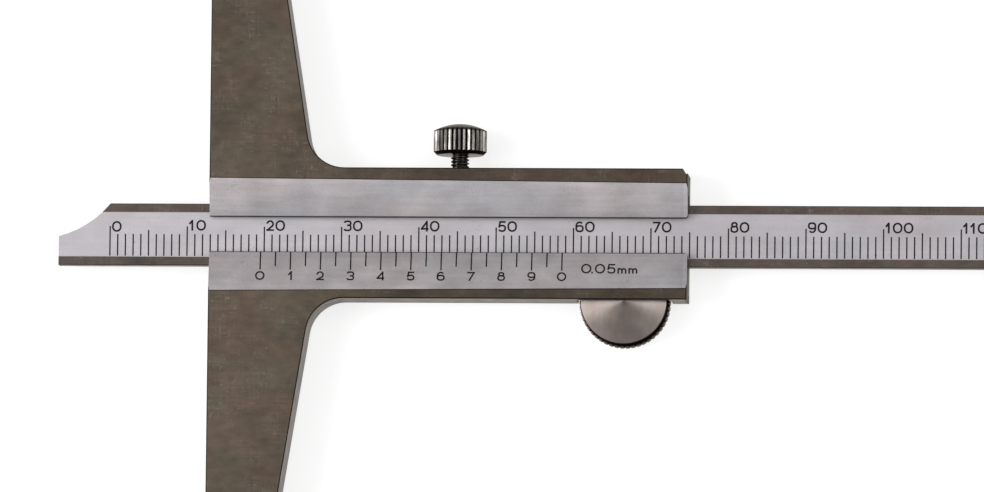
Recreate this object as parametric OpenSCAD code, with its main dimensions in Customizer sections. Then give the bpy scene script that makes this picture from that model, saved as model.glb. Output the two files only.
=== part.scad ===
// Vernier depth gauge, 150 mm, reading to 0.05 mm.
// It lies on its back: +Z is the graduated front, +X runs along the beam away
// from the measuring tip, +Y is the side of the lock screw. The origin is the
// point where the beam's axis crosses the measuring face of the base, in the
// middle of the body's thickness. All lengths are in millimetres.

/* [Base] */
// Length of the measuring face, across the beam
base_len = 100; // [60:5:120]
// Depth of a wing where it meets the slider
wing_root_d = 13.35; // [12.8:0.05:18]
// Angle by which a wing narrows towards its end
wing_taper = 9; // [0:0.5:12]
// Radius in the corner between a wing and the slider
fillet_r = 4.8; // [3:0.1:6]
// Radius of a wing's outer back corner
wing_corner_r = 2; // [1:0.1:3]

/* [Slider] */
// Thickness of the base and of the slider
body_t = 6.5; // [6.4:0.1:8]
// Length of the body from the measuring face to its rear end
slider_len = 61.8; // [58:0.1:80]
// Height of the slider above the beam's axis
slider_top = 8.57; // [8.2:0.01:11]
// Height of the slider below the beam's axis
slider_bottom = 8.37; // [8.1:0.01:8.6]
// Corner cut at the slider's upper rear corner
corner_cut = 0.6; // [0.3:0.1:1.2]
// Small bevel broken onto the body's outer edges
edge_break = 0.15; // [0.05:0.01:0.25]
// Width of the window that shows the beam
window_w = 4.54; // [4.2:0.02:4.8]
// Width of the sloping band above the window, at the measuring face
upper_band_w = 4.87; // [4.7:0.01:5.2]
// Width of the sloping vernier band below the window, at the measuring face
lower_band_w = 5.11; // [4.7:0.01:5.2]
// Width that both bands lose on the way to the rear end
band_loss = 0.5; // [0:0.05:0.7]
// Slope of the two bands
band_angle = 14.5; // [8:0.5:15.5]

/* [Beam] */
// Width of the depth beam
beam_w = 8; // [7.6:0.1:8.2]
// Thickness of the depth beam
beam_t = 2.0; // [1.8:0.1:2.1]
// Depth of the beam's face below the body's front face
beam_set = 2.3; // [2.25:0.05:2.5]
// Width of each polished land along the beam's edges
land_w = 1.1; // [0.8:0.05:1.4]
// Depth of the satin scale strip below the lands
strip_d = 0.12; // [0.05:0.01:0.3]
// Free play between the beam and the faces that guide it
slide_gap = 0.05; // [0.03:0.01:0.08]
// Width of the beam's blunt measuring end
tip_w = 3.74; // [2:0.01:5]
// Length of the hollow that narrows the beam to its tip
tip_len = 6.67; // [5:0.01:9]
// Radius of that hollow
tip_hollow_r = 12.6; // [10:0.1:16]
// Small bevel on the beam's long edges
beam_break = 0.08; // [0.03:0.01:0.1]

/* [Measuring] */
// Largest depth that the gauge measures
travel = 150; // [100:5:200]
// Depth that the gauge shows as it lies
reading = 19.65; // [1:0.05:60]
// Distance from the measuring tip to the zero of the beam's scale
zero_offset = 6.65; // [5:0.05:9]
// Number of divisions on the vernier
vernier_divisions = 20; // [10:10:20]
// Length of the vernier scale
vernier_span = 39; // [19:20:39]

/* [Scale marks] */
// Width of an engraved line
line_w = 0.17; // [0.1:0.01:0.25]
// Length of a one millimetre line on the beam
line_short = 2.82; // [2:0.02:3]
// Length of a five millimetre line on the beam
line_five = 3.34; // [2.5:0.02:3.5]
// Length of a ten millimetre line on the beam
line_ten = 3.84; // [3:0.02:4.2]
// Length of a numbered vernier line
vernier_long = 2.4; // [1.5:0.05:2.6]
// Length of an unnumbered vernier line
vernier_short = 1.92; // [1:0.02:2.2]
// Height of the beam's figures
beam_fig_h = 1.4; // [1.3:0.02:1.6]
// Width of the beam's widest figure, its zero
beam_fig_w = 1.24; // [1.1:0.02:1.3]
// Width of the stroke in the beam's figures
beam_stroke_w = 0.23; // [0.14:0.01:0.25]
// Height of the vernier's figures, whose zero is a circle
vernier_fig_h = 1.22; // [1.1:0.02:1.3]
// Height of the figures in the resolution mark
mark_fig_h = 1.32; // [1.1:0.02:1.4]
// Width of the stroke in the vernier's figures and in the resolution mark
vernier_stroke_w = 0.2; // [0.12:0.01:0.22]
// Thickness of the ink in a mark
ink_t = 0.02; // [0.01:0.005:0.04]

/* [Gib and lock] */
// Thickness of the gib strip
gib_t = 0.9; // [0.6:0.05:1]
// Height of the space for the gib above the beam
gib_space = 1.35; // [1.25:0.05:1.45]
// Distance of the lock screw from the measuring face
lock_x = 32.2; // [26:0.1:38]
// Outer diameter of the lock screw's thread
lock_thread_d = 2.4; // [2:0.1:2.6]
// Thread pitch of the lock screw
lock_pitch = 0.45; // [0.35:0.05:0.5]
// Diameter of the lock screw's knurled head
lock_head_d = 6.85; // [5:0.05:8]
// Height of the knurled part of the lock screw's head
lock_knurl_h = 2.75; // [2:0.05:4]
// Rise of the domed top of the lock screw's head
lock_dome_h = 0.9; // [0.4:0.05:1.2]
// Free thread between the slider and the lock screw's head
lock_neck = 1.88; // [1.5:0.01:4]
// Number of flutes round the lock screw's head
lock_flutes = 36; // [24:1:40]

/* [Thumb roller] */
// Distance of the roller's axis from the slider's rear end
roller_tail = 8.2; // [7.5:0.1:12]
// Radius of the roller's smooth front disc
disc_r = 5.6; // [5:0.05:5.7]
// Radius of the roller's fluted rim
rim_r = 5.9; // [5.3:0.05:6]
// Number of flutes round the rim
rim_flutes = 50; // [30:1:56]
// Radius of the roller's axle
axle_r = 1.0; // [0.8:0.05:1.4]
// Thickness of the spring arm that carries the roller
arm_t = 0.5; // [0.4:0.05:0.6]
// Width of the spring arm
arm_w = 4; // [3.4:0.1:4.4]

/* [Back plate] */
// Width of the back plate
plate_w = 14.8; // [14.4:0.1:15]
// Distance of the back plate's front end from the measuring face
plate_start = 8; // [6:0.5:10]
// Outer diameter of the back plate screws' thread
plate_screw_d = 1.4; // [1.2:0.1:1.4]
// Length of a back plate screw
plate_screw_len = 4.2; // [3.5:0.1:4.6]

/* [Hidden] */

$fn = 64;

// Overrun of a cut past the face that it opens, and half the size of a wide cutter
cut = 1;
reach = 30;

// Clearance round a fixed piece in its seat, and round a screw in its thread
seat_gap = 0.01;
thread_gap = 0.03;

// Colours of the finishes
lapped = [0.47, 0.44, 0.41];
satin = [0.72, 0.71, 0.71];
turned = [0.60, 0.57, 0.55];
dark_steel = [0.30, 0.29, 0.28];
spring_steel = [0.50, 0.50, 0.52];
bronze = [0.66, 0.50, 0.28];
ink = [0.10, 0.09, 0.09];

// Heights of the faces from the middle of the body's thickness
front_z = body_t / 2;
back_z = -body_t / 2;
beam_front_z = front_z - beam_set;
beam_back_z = beam_front_z - beam_t;
strip_z = beam_front_z - strip_d;
way_front_z = beam_front_z + slide_gap;
way_back_z = beam_back_z - slide_gap;

// Faces across the beam
beam_half = beam_w / 2;
way_y = beam_half + slide_gap;
window_y = window_w / 2;
window_corner_r = 0.45;
gib_top_y = beam_half + gib_space;
relief_w = 0.6;
relief_h = 0.6;

// Sloping bands: their outer edges run together a little towards the rear
upper_band_y = window_y + upper_band_w;
lower_band_y = window_y + lower_band_w;
band_swing = atan(band_loss / slider_len);

// Measuring beam, placed by the depth that the gauge shows
stop_head_r = 1.3;
stop_head_t = 0.8;
stop_thread_r = 0.8;
stop_play = 0.1;
stop_tail = 3.5;
tip_x = -reading;
stop_x = slider_len + stop_play + stop_head_r + travel - reading;
beam_end_x = stop_x + stop_tail;
beam_len = beam_end_x - tip_x;

// Scale on the beam, and the figures beside its ten millimetre lines
zero_x = tip_x + zero_offset;
scale_mm = travel + vernier_span + 1;
line_inset = 0.12;
line_low_y = -beam_half + land_w + line_inset;
beam_hand = [beam_fig_w, beam_fig_h, beam_stroke_w];
beam_fig_gap = 0.17;
beam_fig_side = 0.15;
beam_fig_lap = 0.56;
beam_fig_y = line_low_y + line_ten - beam_fig_lap;
zero_fig_drop = 0.19;

// Vernier scale and the mark behind it
vernier_pitch = vernier_span / vernier_divisions;
label_step = vernier_divisions / 10;
vernier_hand = [vernier_fig_h, vernier_fig_h, vernier_stroke_w];
vernier_fig_drop = 0.16;
vernier_fig_y = -window_y - vernier_long - vernier_fig_drop - vernier_fig_h;
mark_hand = [mark_fig_h, mark_fig_h, vernier_stroke_w];
mark_fig_gap = 0.25;
mark_gap = 2.5;
mark_x = zero_offset + vernier_span + mark_gap;
mark_drop = 2.75;
mark_y = -window_y - mark_drop;

// Thumb roller: its hub rolls on the beam's lower edge
roller_x = slider_len - roller_tail;
roller_drop = 0.01;
roller_y = -slider_bottom - roller_drop;
roll_r = -beam_half - roller_y;
roll_gap = 0.03;
hub_r = roll_r - roll_gap;
disc_t = 0.6;
disc_edge = 0.06;
disc_back_z = beam_front_z + 2 * slide_gap;
disc_front_z = disc_back_z + disc_t;
arm_inset = 0.05;
arm_back_z = back_z + arm_inset;
arm_front_z = arm_back_z + arm_t;
rim_front_z = way_back_z - slide_gap;
rim_back_z = arm_front_z + slide_gap;
rim_bevel = 0.4;
rim_back_bevel = 0.15;
rim_flute_share = 0.36;
pocket_gap = 0.2;
pocket_top_gap = 0.1;
axle_gap = 0.03;
axle_top_z = disc_back_z - slide_gap;

// Spring arm from the back plate to the roller's axle
arm_angle = 24;
arm_len = 17.5;
arm_gap = 0.12;
arm_screw_r = 0.7;
arm_screw_head_r = 1.12;
arm_screw_len = 1.8;
arm_screw_shares = [0.06, 0.3];

// Back plate, with screws in the rails above and below the way
plate_gap = 0.02;
plate_half = plate_w / 2;
plate_len = slider_len - plate_start;
upper_screw_shares = [0.09, 0.62, 0.94];
lower_screw_shares = [0.09, 0.29, 0.5];
plate_screw_r = plate_screw_d / 2;
plate_screw_head_r = 1.4 * plate_screw_r;
screw_inset = 0.05;
rail_y = plate_half - plate_screw_head_r - 2 * screw_inset;
slot_w = 0.3;
slot_d = 0.3;

// Gib strip, the two set screws that locate it, and the clamp of the lock screw
gib_inset = 2;
gib_start = plate_start + gib_inset;
gib_tail = 4;
gib_side_gap = 0.1;
gib_low_y = beam_half + slide_gap;
gib_back_y = gib_low_y + gib_t;
gib_len = slider_len - gib_tail - gib_start;
hole_wall = 0.1;
set_screw_r = 1;
set_screw_shares = [0.12, 0.76];
set_screw_sink = 0.6;
set_point_r = 0.5;
set_point_h = 0.3;
set_screw_z = way_back_z + set_screw_r + thread_gap + hole_wall;
lock_r = lock_thread_d / 2;
lock_gap = 0.05;
lock_z = way_back_z + lock_r + lock_gap + hole_wall;
clamp_travel = lock_pitch / 2;
clamp_rest_gap = 0.02;
pad_gap = 0.06;
pad_r = lock_r + lock_gap - pad_gap;
pad_t = 0.8;
pad_low_y = gib_back_y + clamp_rest_gap + clamp_travel;
pad_top_y = pad_low_y + pad_t;
lock_tip_y = pad_top_y + seat_gap;
lock_seat_y = slider_top + lock_neck;
lock_bevel = 0.4;
lock_flute_share = 0.42;
thread_depth = 0.61 * lock_pitch;
tooth_shares = [[0, 0.05], [1, 0.45], [1, 0.55], [0, 0.95]];

// Wing outline, and the fillet between a wing and a slider side of height h
wing_ref_y = (slider_top + slider_bottom) / 2;
function wing_x(y) = wing_root_d - (y - wing_ref_y) * tan(wing_taper);
function fillet_centre(h) = [wing_x(h + fillet_r) + fillet_r / cos(wing_taper), h + fillet_r];
function fillet_end(h) = fillet_centre(h) - fillet_r * [cos(wing_taper), sin(wing_taper)];
wing_end_y = base_len / 2;
corner_y = wing_end_y - wing_corner_r;
corner_centre = [wing_x(corner_y) - wing_corner_r / cos(wing_taper), corner_y];
corner_start = corner_centre + wing_corner_r * [cos(wing_taper), sin(wing_taper)];

// Strokes of the figures, along the middle of the stroke. A point is [x, y, lift]: x and
// lift are shares of the zero's width and y is a share of the height, so that bows keep
// their shape and uprights take up the height. A straight stroke is its start, its end and
// the shares of half a stroke by which it runs past each of them. A round stroke is its
// centre, its radius, and the angles between which it runs. A bowl is a closed loop with
// round corners of radius r between x0 and x1 and between y0 and y1.
function bowl_bars(x0, x1, y0, y1, r) = [
    [[x0 + r, y0, 0], [x1 - r, y0, 0], 0, 0], [[x0 + r, y1, 0], [x1 - r, y1, 0], 0, 0],
    [[x0, y0, r], [x0, y1, -r], 0, 0], [[x1, y0, r], [x1, y1, -r], 0, 0]
];
function bowl_bows(x0, x1, y0, y1, r) = [
    [[x1 - r, y1, -r], r, 0, 90], [[x0 + r, y1, -r], r, 90, 180],
    [[x0 + r, y0, r], r, 180, 270], [[x1 - r, y0, r], r, 270, 360]
];
straight_shares = [
    bowl_bars(0, 1, 0, 1, 0.5),
    [[[0.3, 1, 0], [0.3, 0, 0], 1, 1], [[0, 1, -0.34], [0.3, 1, 0], 1, 0]],
    [[[0.62, 1, -0.675], [0.03, 0, 0], 1, 0], [[0, 0, 0], [0.78, 0, 0], 1, 1]],
    [
        [[0.27, 1, 0], [0.57, 1, 0], 0, 0], [[0.35, 1, -0.5], [0.57, 1, -0.5], 0, 0],
        [[0.82, 1, -0.75], [0.82, 0, 0.25], 0, 0], [[0.25, 0, 0], [0.57, 0, 0], 0, 0]
    ],
    [
        [[0.68, 1, 0], [0.68, 0, 0], 1, 1], [[0, 0.2, 0], [0.68, 1, 0], 0, 0],
        [[0, 0.2, 0], [0.78, 0.2, 0], 1, 1]
    ],
    [
        [[0.14, 1, 0], [0.74, 1, 0], 0, 1], [[0.14, 1, 0], [0.04, 0.6, -0.15], 1, 1],
        [[0.3, 0.6, 0], [0.5, 0.6, 0], 0, 0], [[0.8, 0.6, -0.3], [0.8, 0, 0.3], 0, 0],
        [[0.3, 0, 0], [0.5, 0, 0], 0, 0]
    ],
    concat(bowl_bars(0, 0.84, 0, 0.6, 0.3), [[[0, 0.6, -0.3], [0, 1, -0.42], 0, 0]]),
    [[[0, 1, 0], [0.76, 1, 0], 1, 1], [[0.76, 1, 0], [0.2, 0, 0], 0, 1]],
    concat(bowl_bars(0, 0.8, 0, 0.6, 0.3), bowl_bars(0.1, 0.7, 0.58, 1, 0.21)),
    concat(bowl_bars(0, 0.84, 0.4, 1, 0.3), [[[0.84, 0.4, 0.3], [0.84, 0, 0.42], 0, 0]]),
    [[[0, 0, 0], [0, 0.04, 0], 1, 1]],
    [
        [[0, 0, 0], [0, 0, 0.5], 1, 1], [[0.43, 0, 0], [0.43, 0, 0.28], 1, 0],
        [[0.86, 0, 0], [0.86, 0, 0.28], 1, 0]
    ]
];
round_shares = [
    bowl_bows(0, 1, 0, 1, 0.5),
    [],
    [[[0.38, 1, -0.38], 0.38, -51, 175]],
    [
        [[0.27, 1, -0.25], 0.25, 90, 165], [[0.57, 1, -0.25], 0.25, -90, 90],
        [[0.57, 1, -0.75], 0.25, 0, 90], [[0.57, 0, 0.25], 0.25, -90, 0], [[0.25, 0, 0.25], 0.25, 195, 270]
    ],
    [],
    [
        [[0.3, 0.6, -0.3], 0.3, 90, 150], [[0.5, 0.6, -0.3], 0.3, 0, 90],
        [[0.5, 0, 0.3], 0.3, -90, 0], [[0.3, 0, 0.3], 0.3, 200, 270]
    ],
    concat(bowl_bows(0, 0.84, 0, 0.6, 0.3), [[[0.42, 1, -0.42], 0.42, 42, 180]]),
    [],
    concat(bowl_bows(0, 0.8, 0, 0.6, 0.3), bowl_bows(0.1, 0.7, 0.58, 1, 0.21)),
    concat(bowl_bows(0, 0.84, 0.4, 1, 0.3), [[[0.42, 0, 0.42], 0.42, 222, 360]]),
    [],
    [[[0.215, 0, 0.28], 0.215, 0, 165], [[0.645, 0, 0.28], 0.215, 0, 165]]
];
figure_width_shares = [1, 0.3, 0.78, 0.82, 0.78, 0.8, 0.84, 0.76, 0.8, 0.84, 0, 0.86];
lead_shares = [1, 1, 1, 1, 1, 1, 1, 1, 1, 1, 0, 1];
trail_shares = [0, 1.4, 0, 0, 0, 0, 0, 0, 0, 0, 0, 0];
point_mark = 10;
m_mark = 11;

// Digits of a whole number, the highest first
function digits(n) = n < 10 ? [n] : concat(digits(floor(n / 10)), [n % 10]);

// A hand is the width of the zero, the height and the stroke of one row's figures. Here are
// its sizes along the strokes' middle, and a point of a figure in it.
function inner(hand) = [hand[0] - hand[2], hand[1] - hand[2]];
function spot(p, hand) = [p[0] * inner(hand)[0], p[1] * inner(hand)[1] + p[2] * inner(hand)[0]];

// Width of a figure between its outermost middle lines, and where it starts in a row
function figure_w(mark, hand) = figure_width_shares[mark] * inner(hand)[0];
function figure_x(row, i, hand, gap) =
    i == 0
        ? hand[2] / 2
        : figure_x(row, i - 1, hand, gap) + figure_w(row[i - 1], hand) + hand[2]
            + gap * (trail_shares[row[i - 1]] + lead_shares[row[i]]);

// One figure, standing on the X axis; an upright that the height leaves no room for is left out
module figure(mark, hand) {
    half = hand[2] / 2;
    translate([0, half, 0]) {
        for (bar = straight_shares[mark]) {
            start = spot(bar[0], hand);
            run = spot(bar[1], hand) - start;
            if (norm(run) > ink_t)
                translate([start[0], start[1], 0])
                    rotate(atan2(run[1], run[0]))
                        translate([-half * bar[2], -half, 0])
                            cube([norm(run) + half * (bar[2] + bar[3]), 2 * half, ink_t]);
        }
        for (bow = round_shares[mark])
            translate([spot(bow[0], hand)[0], spot(bow[0], hand)[1], 0])
                rotate(bow[2])
                    rotate_extrude(angle = bow[3] - bow[2])
                        translate([bow[1] * inner(hand)[0] - half, 0])
                            square([2 * half, ink_t]);
    }
}

// A row of figures whose left side touches the Y axis
module figure_row(row, hand, gap) {
    for (i = [0:len(row) - 1])
        translate([figure_x(row, i, hand, gap), 0, 0])
            figure(row[i], hand);
}

// Room above a band whose outer edge starts at edge_y, on the upper side of the beam
module band_room(edge_y) {
    intersection() {
        translate([0, edge_y, front_z])
            rotate([0, 0, -band_swing])
                rotate([band_angle, 0, 0])
                    translate([-reach, -reach, 0])
                        cube([slider_len + 2 * reach, 2 * reach, reach]);
        translate([-reach, 0, -reach])
            cube([slider_len + 2 * reach, edge_y + cut, 2 * reach]);
    }
}

// Lays children flat on the lower band, with their origin over the point (x, y)
module on_band(x, y) {
    drop = cos(band_swing) * (y + lower_band_y) - sin(band_swing) * x;
    translate([x, y, front_z - tan(band_angle) * drop])
        rotate([0, 0, band_swing])
            rotate([-band_angle, 0, 0])
                rotate([0, 0, -atan(tan(band_swing) / cos(band_angle))])
                    children();
}

// Plan of the body's half that has a slider side of height h
module half_plan(h) {
    difference() {
        union() {
            polygon([
                [0, 0], [slider_len, 0], [slider_len, h], [fillet_centre(h)[0], h],
                fillet_end(h), corner_start, [corner_centre[0], wing_end_y], [0, wing_end_y]
            ]);
            translate(corner_centre)
                circle(r = wing_corner_r);
        }
        translate(fillet_centre(h))
            circle(r = fillet_r);
    }
}

// Bar of square section on edge, which breaks a straight edge on both faces
module edge_bar(from, to, depth, high, low) {
    d = to - from;
    side = depth * sqrt(2);
    for (z = [low, high])
        translate([from[0], from[1], z])
            rotate(atan2(d[1], d[0]))
                rotate([45, 0, 0])
                    translate([0, -side / 2, -side / 2])
                        cube([norm(d), side, side]);
}

// Breaks the outer edges of the body's half that has a slider side of height h
module half_edges(h) {
    bars = [
        [[0, -cut], [0, wing_end_y + cut]],
        [[-cut, wing_end_y], [corner_centre[0], wing_end_y]],
        [fillet_end(h), corner_start],
        [[fillet_centre(h)[0], h], [slider_len + cut, h]]
    ];
    for (bar = bars)
        edge_bar(bar[0], bar[1], edge_break, front_z, back_z);
    for (side = [0, 1])
        mirror([0, 0, side])
            translate([fillet_centre(h)[0], fillet_centre(h)[1], front_z - edge_break])
                cylinder(r1 = fillet_r, r2 = fillet_r + 2 * edge_break, h = 2 * edge_break);
}

// Straight hole along Y at (x, z), from one height to another
module hole_y(x, z, r, low_y, high_y) {
    translate([x, high_y, z])
        rotate([90, 0, 0])
            cylinder(r = r, h = high_y - low_y);
}

// Window over the beam, with its two rear corners rounded
module window_plan() {
    translate([-cut, -window_y])
        square([slider_len + 2 * cut, window_w]);
    for (side = [0, 1])
        mirror([0, side])
            translate([slider_len - window_corner_r, window_y - cut])
                difference() {
                    square([window_corner_r + cut, window_corner_r + cut]);
                    translate([0, window_corner_r + cut])
                        circle(r = window_corner_r);
                }
}

// Plan of the spring arm, grown by a margin all round
module arm_plan(margin) {
    half = arm_w / 2 + margin;
    translate([roller_x, roller_y])
        rotate(180 - arm_angle) {
            translate([0, -half])
                square([arm_len, 2 * half]);
            circle(r = half);
            translate([arm_len, 0])
                circle(r = half);
        }
}

// Places children at each screw of the spring arm
module at_arm_screws() {
    for (share = arm_screw_shares)
        translate([roller_x, roller_y, 0])
            rotate(180 - arm_angle)
                translate([arm_len * (1 - share), 0, 0])
                    children();
}

// Places children at each screw of the back plate
module at_plate_screws() {
    for (share = upper_screw_shares)
        translate([plate_start + share * plate_len, rail_y, 0])
            children();
    for (share = lower_screw_shares)
        translate([plate_start + share * plate_len, -rail_y, 0])
            children();
}

// Countersunk screw with its head down; grown by a margin it is the screw's hole, and its
// cone then runs on past the surface
module flat_screw(r, head_r, length, margin, over = 0) {
    translate([0, 0, -over])
        cylinder(r1 = head_r + margin + over, r2 = r + margin, h = head_r - r + over);
    cylinder(r = r + margin, h = length);
}

// Pocket for the roller: wide below the front disc, narrower round it
module roller_pocket() {
    translate([roller_x, roller_y, 0]) {
        translate([0, 0, back_z - cut])
            cylinder(r = rim_r + pocket_gap, h = disc_back_z - back_z + cut);
        translate([0, 0, back_z])
            cylinder(r = disc_r + pocket_gap, h = disc_front_z + pocket_top_gap - back_z);
    }
}

// Recess for the spring arm in the back of the body
module arm_recess() {
    translate([0, 0, back_z - cut])
        linear_extrude(arm_front_z - back_z + cut)
            arm_plan(arm_gap);
}

// Base and slider in one piece: the wings carry the measuring face
module base_frame() {
    color(lapped)
        difference() {
            translate([0, 0, back_z])
                linear_extrude(body_t) {
                    half_plan(slider_top);
                    mirror([0, 1])
                        half_plan(slider_bottom);
                }
            half_edges(slider_top);
            mirror([0, 1, 0])
                half_edges(slider_bottom);
            edge_bar([slider_len, -reach], [slider_len, reach], edge_break, front_z, back_z);
            translate([slider_len, slider_top, 0])
                rotate(45)
                    cube([2 * corner_cut, corner_cut * sqrt(2), body_t + cut], center = true);
            frame_ways();
            frame_holes();
        }
}

// Ways for the beam and gib, the window with its bands, and the seat of the back plate
module frame_ways() {
    band_room(upper_band_y);
    mirror([0, 1, 0])
        band_room(lower_band_y);
    translate([-cut, -way_y, way_back_z])
        cube([slider_len + 2 * cut, 2 * way_y, way_front_z - way_back_z]);
    translate([plate_start, 0, way_back_z])
        cube([plate_len + cut, gib_top_y, way_front_z - way_back_z]);
    translate([plate_start, -way_y - relief_w, way_front_z - relief_h])
        cube([plate_len + cut, way_y + relief_w, relief_h]);
    translate([0, 0, beam_front_z])
        linear_extrude(reach)
            window_plan();
    translate([plate_start, -plate_half, back_z - cut])
        cube([plate_len + cut, plate_w, way_back_z - back_z + cut]);
}

// Holes for the screws, and the pocket of the roller
module frame_holes() {
    hole_y(lock_x, lock_z, lock_r + lock_gap, gib_low_y, slider_top + cut);
    for (share = set_screw_shares)
        hole_y(
            gib_start + share * gib_len, set_screw_z, set_screw_r + thread_gap,
            gib_back_y, slider_top + cut
        );
    at_plate_screws()
        translate([0, 0, back_z])
            cylinder(r = plate_screw_r + thread_gap, h = screw_inset + plate_screw_len + thread_gap);
    roller_pocket();
    arm_recess();
}

// Cover that closes the way from behind, let in flush
module back_plate() {
    color(lapped)
        difference() {
            translate([plate_start + plate_gap, -plate_half + plate_gap, back_z])
                cube([plate_len - plate_gap, plate_w - 2 * plate_gap, way_back_z - back_z]);
            for (side = [0, 1])
                mirror([0, side, 0])
                    edge_bar(
                        [plate_start, plate_half - plate_gap], [slider_len + cut, plate_half - plate_gap],
                        edge_break, back_z, back_z
                    );
            edge_bar([slider_len, -reach], [slider_len, reach], edge_break, back_z, back_z);
            at_plate_screws()
                translate([0, 0, back_z])
                    flat_screw(plate_screw_r, plate_screw_head_r + screw_inset, body_t, thread_gap, cut);
            at_arm_screws()
                translate([0, 0, back_z])
                    cylinder(r = arm_screw_r + thread_gap, h = arm_inset + arm_screw_len + thread_gap);
            roller_pocket();
            arm_recess();
        }
}

// Six countersunk screws that hold the back plate
module back_plate_screws() {
    color(dark_steel)
        at_plate_screws()
            translate([0, 0, back_z + screw_inset])
                difference() {
                    flat_screw(plate_screw_r, plate_screw_head_r, plate_screw_len, 0);
                    translate([-reach / 2, -slot_w / 2, -cut])
                        cube([reach, slot_w, slot_d + cut]);
                }
}

// Flat strip that takes up the play above the beam, with a dimple for each set screw
module gib_strip() {
    color(bronze)
        difference() {
            translate([gib_start, gib_low_y, way_back_z + gib_side_gap])
                cube([gib_len, gib_t, way_front_z - way_back_z - 2 * gib_side_gap]);
            for (share = set_screw_shares)
                hole_y(
                    gib_start + share * gib_len, set_screw_z, set_point_r + seat_gap,
                    gib_back_y - set_point_h / 2, gib_back_y + cut
                );
        }
}

// Two slotted set screws; their points sit in the dimples of the gib
module gib_set_screws() {
    top_y = slider_top - set_screw_sink;
    low_y = gib_back_y + set_point_h;
    color(dark_steel)
        for (share = set_screw_shares)
            difference() {
                union() {
                    hole_y(gib_start + share * gib_len, set_screw_z, set_screw_r, low_y, top_y);
                    hole_y(
                        gib_start + share * gib_len, set_screw_z, set_point_r,
                        gib_back_y - set_point_h / 2, low_y + set_point_h
                    );
                }
                translate([gib_start + share * gib_len - slot_w / 2, top_y - slot_d, -reach])
                    cube([slot_w, slot_d + cut, 2 * reach]);
            }
}

// Brass pad between the lock screw and the gib
module lock_pad() {
    color(bronze)
        hole_y(lock_x, lock_z, pad_r, pad_low_y, pad_top_y);
}

// Profile of the thread: one tooth for each turn, from the tip up to the head
module thread_profile() {
    turns = floor((lock_seat_y - lock_tip_y) / lock_pitch);
    root_r = lock_r - thread_depth;
    start = lock_seat_y - lock_tip_y - turns * lock_pitch;
    polygon(concat(
        [[0, 0], [root_r, 0], [root_r, start]],
        [
            for (i = [0:turns - 1])
                for (p = tooth_shares)
                    [root_r + p[0] * thread_depth, start + (i + p[1]) * lock_pitch]
        ],
        [[root_r, lock_seat_y - lock_tip_y + cut], [0, lock_seat_y - lock_tip_y + cut]]
    ));
}

// Knurled head with a bevelled underside and a domed top, standing on its seat
module lock_head() {
    head_r = lock_head_d / 2;
    dome_r = (head_r * head_r + lock_dome_h * lock_dome_h) / (2 * lock_dome_h);
    body_h = lock_bevel + lock_knurl_h;
    flute_r = lock_flute_share * PI * lock_head_d / lock_flutes / sqrt(2);
    difference() {
        intersection() {
            union() {
                cylinder(r1 = head_r - lock_bevel, r2 = head_r, h = lock_bevel);
                translate([0, 0, lock_bevel])
                    cylinder(r = head_r, h = lock_knurl_h + lock_dome_h);
            }
            translate([0, 0, body_h + lock_dome_h - dome_r])
                sphere(r = dome_r, $fn = 96);
        }
        for (i = [0:lock_flutes - 1])
            rotate(360 * i / lock_flutes)
                translate([head_r, 0, -cut])
                    cylinder(r = flute_r, h = body_h + lock_dome_h + 2 * cut, $fn = 4);
    }
}

// Lock screw: turned by hand, it drives the pad onto the gib
module lock_screw() {
    color(dark_steel)
        translate([lock_x, lock_tip_y, lock_z])
            rotate([-90, 0, 0])
                union() {
                    rotate_extrude()
                        thread_profile();
                    translate([0, 0, lock_seat_y - lock_tip_y])
                        lock_head();
                }
}

// Plan of the beam: a straight bar, hollowed on one side down to the blunt tip
module beam_plan() {
    chord = [tip_len, beam_w - tip_w];
    square_off = sqrt(tip_hollow_r * tip_hollow_r - chord * chord / 4);
    centre = [0, tip_w] + chord / 2 + [-chord[1], chord[0]] / norm(chord) * square_off;
    difference() {
        square([beam_len, beam_w]);
        translate(centre)
            circle(r = tip_hollow_r, $fn = 128);
    }
}

// Measuring beam: a satin strip for the scale lies between two polished lands
module depth_beam() {
    color(satin)
        difference() {
            translate([tip_x, -beam_half, beam_back_z])
                linear_extrude(beam_t)
                    beam_plan();
            translate([tip_x - cut, -beam_half + land_w, strip_z])
                cube([beam_len + 2 * cut, beam_w - 2 * land_w, reach]);
            for (side = [0, 1])
                mirror([0, side, 0])
                    edge_bar(
                        [tip_x - cut, beam_half], [beam_end_x + cut, beam_half],
                        beam_break, beam_front_z, beam_back_z
                    );
            translate([stop_x, 0, beam_back_z - cut])
                cylinder(r = stop_thread_r + thread_gap, h = beam_t + 2 * cut);
        }
}

// Screw in the beam's tail; its head meets the back plate at full travel
module beam_stop_screw() {
    color(dark_steel)
        translate([stop_x, 0, beam_back_z - stop_head_t])
            difference() {
                union() {
                    cylinder(r = stop_head_r, h = stop_head_t);
                    cylinder(r = stop_thread_r, h = stop_head_t + strip_z - beam_back_z);
                }
                translate([-reach / 2, -slot_w / 2, -cut])
                    cube([reach, slot_w, slot_d + cut]);
            }
}

// Section of the roller from its axis outwards: rim, hub and front disc
module roller_profile() {
    bore_r = axle_r + axle_gap;
    polygon([
        [bore_r, rim_back_z], [rim_r - rim_back_bevel, rim_back_z], [rim_r, rim_back_z + rim_back_bevel],
        [rim_r, rim_front_z - rim_bevel], [rim_r - rim_bevel, rim_front_z], [hub_r, rim_front_z],
        [hub_r, disc_back_z], [disc_r, disc_back_z], [disc_r, disc_front_z - disc_edge],
        [disc_r - disc_edge, disc_front_z], [0, disc_front_z], [0, axle_top_z + axle_gap],
        [bore_r, axle_top_z + axle_gap]
    ]);
}

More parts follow.
